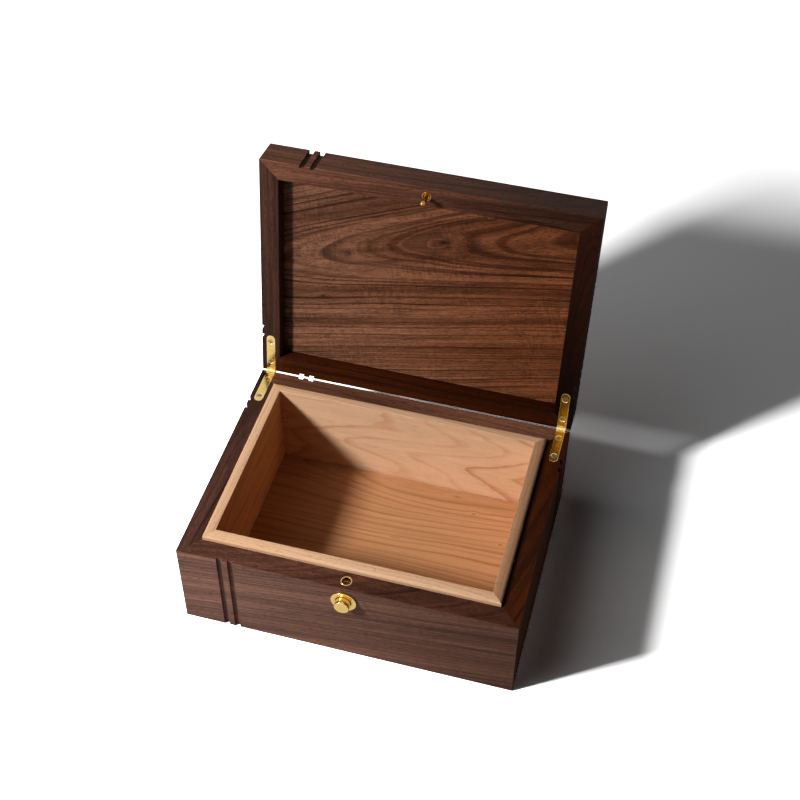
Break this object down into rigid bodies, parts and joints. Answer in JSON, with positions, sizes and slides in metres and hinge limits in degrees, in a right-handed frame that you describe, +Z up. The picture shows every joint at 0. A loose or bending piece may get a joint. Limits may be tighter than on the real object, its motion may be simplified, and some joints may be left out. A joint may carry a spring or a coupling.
{
  "type": "keepsake box",
  "caption": "Mitred walnut keepsake box with a maple lining, grooved bands, inlaid brass rail hinges and a push-button latch, its lid open on its stop",
  "frame": {"origin": "middle of the case's underside, on the surface that the box stands on", "axes": "+Z up, +X to the right seen from the front, -Y towards the front with the push button, +Y towards the hinges"},
  "size_m": [0.305, 0.3036, 0.3237],
  "materials": {
    "walnut": "satin oiled",
    "panel_walnut": "satin oiled",
    "maple": "smooth, bare",
    "brass": "polished",
    "spring_steel": "bright wire"
  },
  "bodies": {
    "base": {"case_front": "walnut", "case_back": "walnut", "case_left": "walnut", "case_right": "walnut", "case_bottom": "walnut", "liner_front": "maple", "liner_back": "maple", "liner_left": "maple", "liner_right": "maple", "liner_floor": "maple", "hinge_left_case_leaf": "brass", "hinge_left_pin": "brass", "hinge_left_case_screw_1": "brass", "hinge_left_case_screw_2": "brass", "hinge_right_case_leaf": "brass", "hinge_right_pin": "brass", "hinge_right_case_screw_1": "brass", "hinge_right_case_screw_2": "brass", "latch_barrel": "brass", "latch_bezel": "brass", "latch_spring": "spring_steel", "strike_ferrule": "brass"},
    "lid": {"lid_front": "walnut", "lid_back": "walnut", "lid_left": "walnut", "lid_right": "walnut", "lid_panel": "panel_walnut", "hinge_left_lid_leaf": "brass", "hinge_left_lid_screw_1": "brass", "hinge_left_lid_screw_2": "brass", "hinge_right_lid_leaf": "brass", "hinge_right_lid_screw_1": "brass", "hinge_right_lid_screw_2": "brass", "catch_pin": "brass"},
    "button": {"latch_button": "brass", "latch_plunger": "brass"}
  },
  "joints": [
    {"name": "lid_hinge", "type": "hinge", "parent": "base", "child": "lid", "pos_m": [0, 0.1156, 0.09555], "axis": [1, 0, 0], "range_deg": [0, 98.5]},
    {"name": "latch_button_press", "type": "slide", "parent": "base", "child": "button", "axis": [0, 1, 0], "range_m": [0, 0.0025], "stiffness_N_per_m": 600, "springref_m": -0.002, "deforming": ["latch_spring"]}
  ]
}
